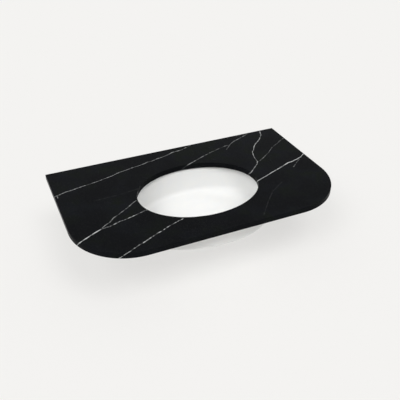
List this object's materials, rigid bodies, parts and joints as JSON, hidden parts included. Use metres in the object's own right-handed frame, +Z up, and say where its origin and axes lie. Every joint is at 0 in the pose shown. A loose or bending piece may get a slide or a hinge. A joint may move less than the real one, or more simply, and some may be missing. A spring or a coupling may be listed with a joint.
{
  "type": "vanity sink top",
  "caption": "Thin stone vanity top with rounded front corners and an oval undermount china basin held by clips, with a push-plug waste.",
  "frame": {"origin": "middle of the stone's rear bottom edge, where the wall meets the top of the cabinet", "axes": "+X along the wall, to the right of a person at the basin; +Y into the wall; +Z up; the stone's underside is Z = 0"},
  "size_m": [0.94, 0.559, 0.224],
  "materials": {
    "veined_stone": "polished black stone with thin white veins",
    "vitreous_china": "white gloss glaze",
    "silicone": "translucent white bead",
    "brass": "turned",
    "zinc_steel": "bright zinc plated",
    "chrome": "polished",
    "black_rubber": "moulded",
    "nylon": "moulded"
  },
  "bodies": {
    "sink_top": {"stone_top": "veined_stone", "basin": "vitreous_china", "rim_sealant": "silicone", "waste_body": "chrome", "flange_seal": "black_rubber", "outlet_gasket": "black_rubber", "friction_washer": "nylon", "waste_lock_nut": "brass", "plug_cartridge": "nylon", "clip_anchor_1": "brass", "clip_stud_1": "zinc_steel", "clip_bracket_1": "zinc_steel", "clip_washer_1": "zinc_steel", "clip_wing_nut_1": "zinc_steel", "clip_anchor_2": "brass", "clip_stud_2": "zinc_steel", "clip_bracket_2": "zinc_steel", "clip_washer_2": "zinc_steel", "clip_wing_nut_2": "zinc_steel", "clip_anchor_3": "brass", "clip_stud_3": "zinc_steel", "clip_bracket_3": "zinc_steel", "clip_washer_3": "zinc_steel", "clip_wing_nut_3": "zinc_steel", "clip_anchor_4": "brass", "clip_stud_4": "zinc_steel", "clip_bracket_4": "zinc_steel", "clip_washer_4": "zinc_steel", "clip_wing_nut_4": "zinc_steel", "clip_anchor_5": "brass", "clip_stud_5": "zinc_steel", "clip_bracket_5": "zinc_steel", "clip_washer_5": "zinc_steel", "clip_wing_nut_5": "zinc_steel", "clip_anchor_6": "brass", "clip_stud_6": "zinc_steel", "clip_bracket_6": "zinc_steel", "clip_washer_6": "zinc_steel", "clip_wing_nut_6": "zinc_steel"},
    "plug": {"plug_cap": "chrome", "plug_seal": "black_rubber", "plug_stem": "brass"}
  },
  "joints": [
    {"name": "plug_lift", "type": "slide", "parent": "sink_top", "child": "plug", "axis": [0, 0, 1], "range_m": [0, 0.008]}
  ]
}
